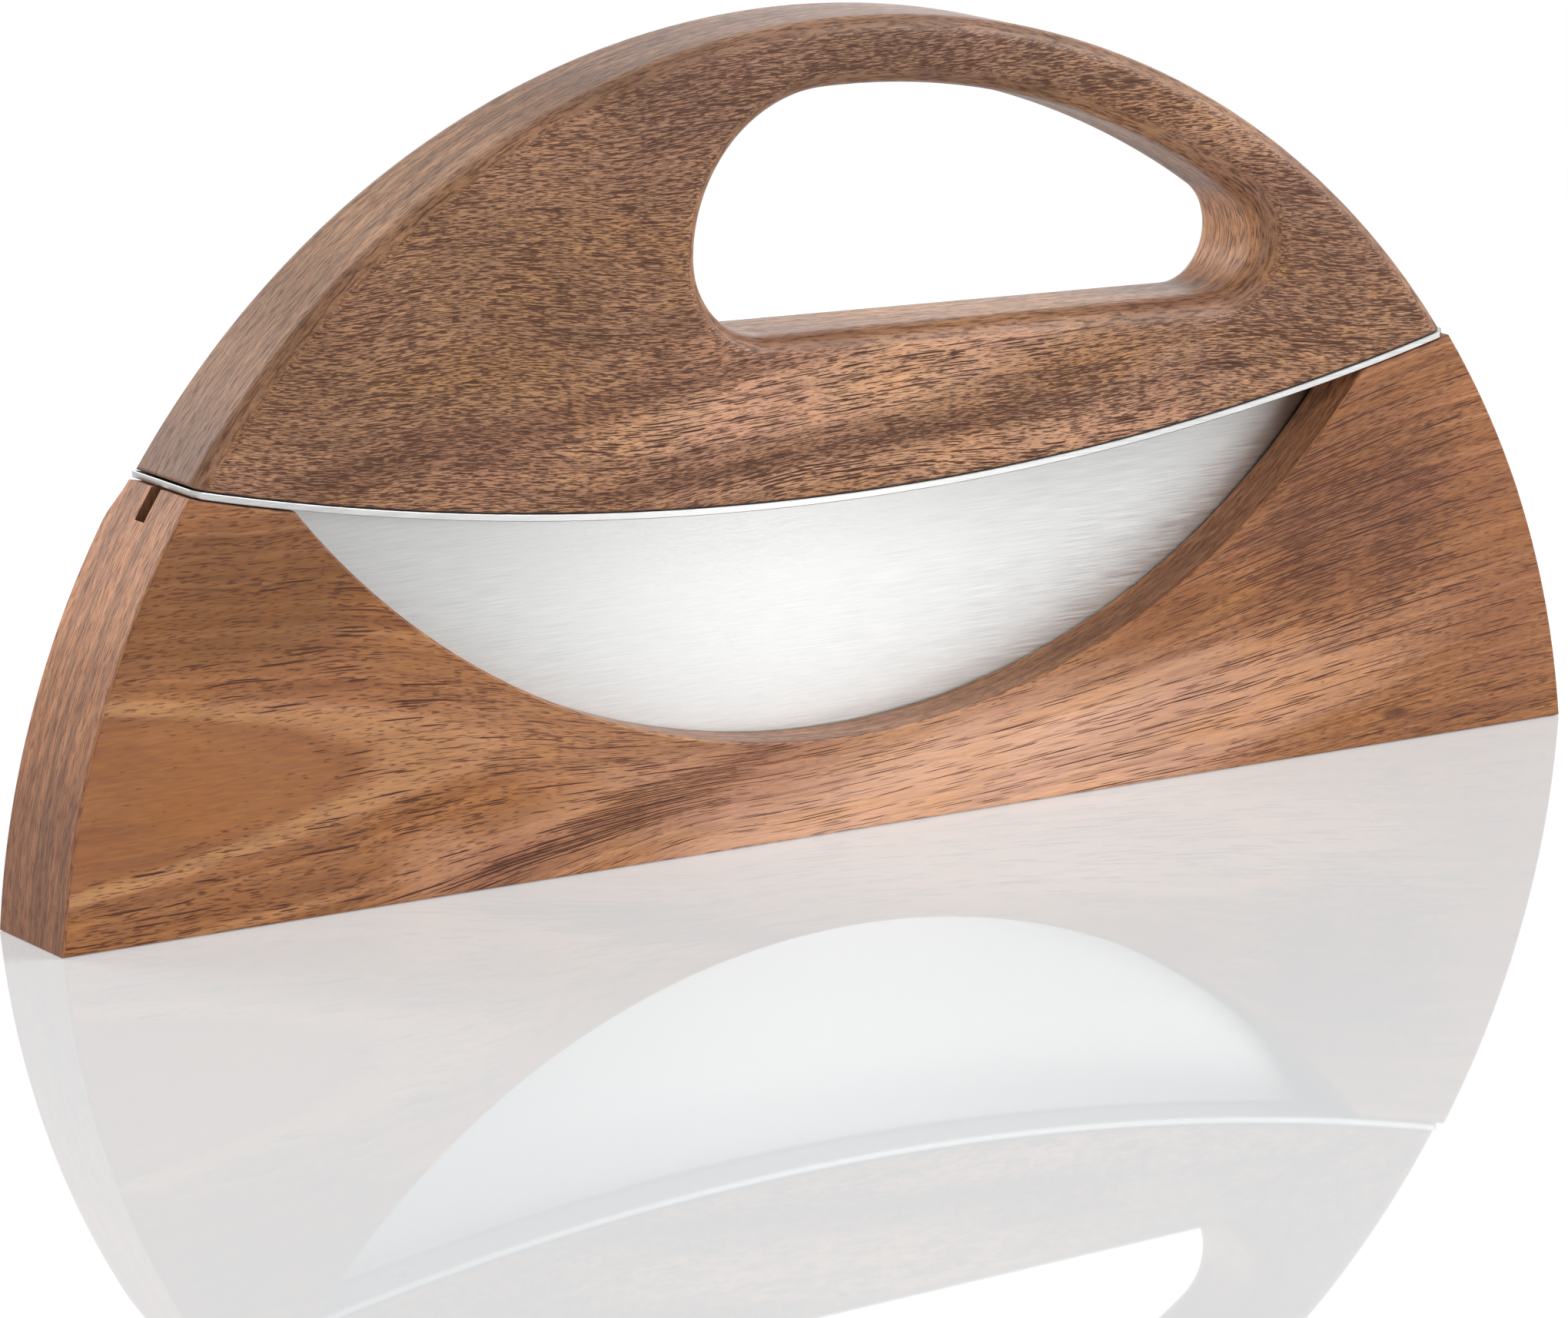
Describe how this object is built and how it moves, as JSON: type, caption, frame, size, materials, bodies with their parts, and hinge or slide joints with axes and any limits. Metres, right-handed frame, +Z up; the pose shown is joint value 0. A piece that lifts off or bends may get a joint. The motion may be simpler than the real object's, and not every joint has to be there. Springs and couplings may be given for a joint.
{
  "type": "herb knife",
  "caption": "Rocking herb knife with a crescent blade under a wooden handle with a hand hole, standing in a half-round wooden block with a blade slot and a window.",
  "frame": {"origin": "middle of the block's base, on the surface that it stands on", "axes": "+X along the blade, towards the end of the handle that the hand hole is nearer to; +Y through the thickness, to the back; +Z up"},
  "size_m": [0.26, 0.02, 0.12],
  "materials": {
    "block_wood": "oiled hardwood, satin",
    "handle_wood": "oiled hardwood, satin",
    "brushed_steel": "brushed along the blade",
    "screw_steel": "plain stainless"
  },
  "bodies": {
    "block": {"stand": "block_wood"},
    "knife": {"handle": "handle_wood", "bolster_plate": "brushed_steel", "blade": "brushed_steel", "screw_left_front": "screw_steel", "screw_left_back": "screw_steel", "screw_right_front": "screw_steel", "screw_right_back": "screw_steel"}
  },
  "joints": [
    {"name": "knife_lift", "type": "slide", "parent": "block", "child": "knife", "axis": [0, 0, 1], "range_m": [0, 0.075]}
  ]
}
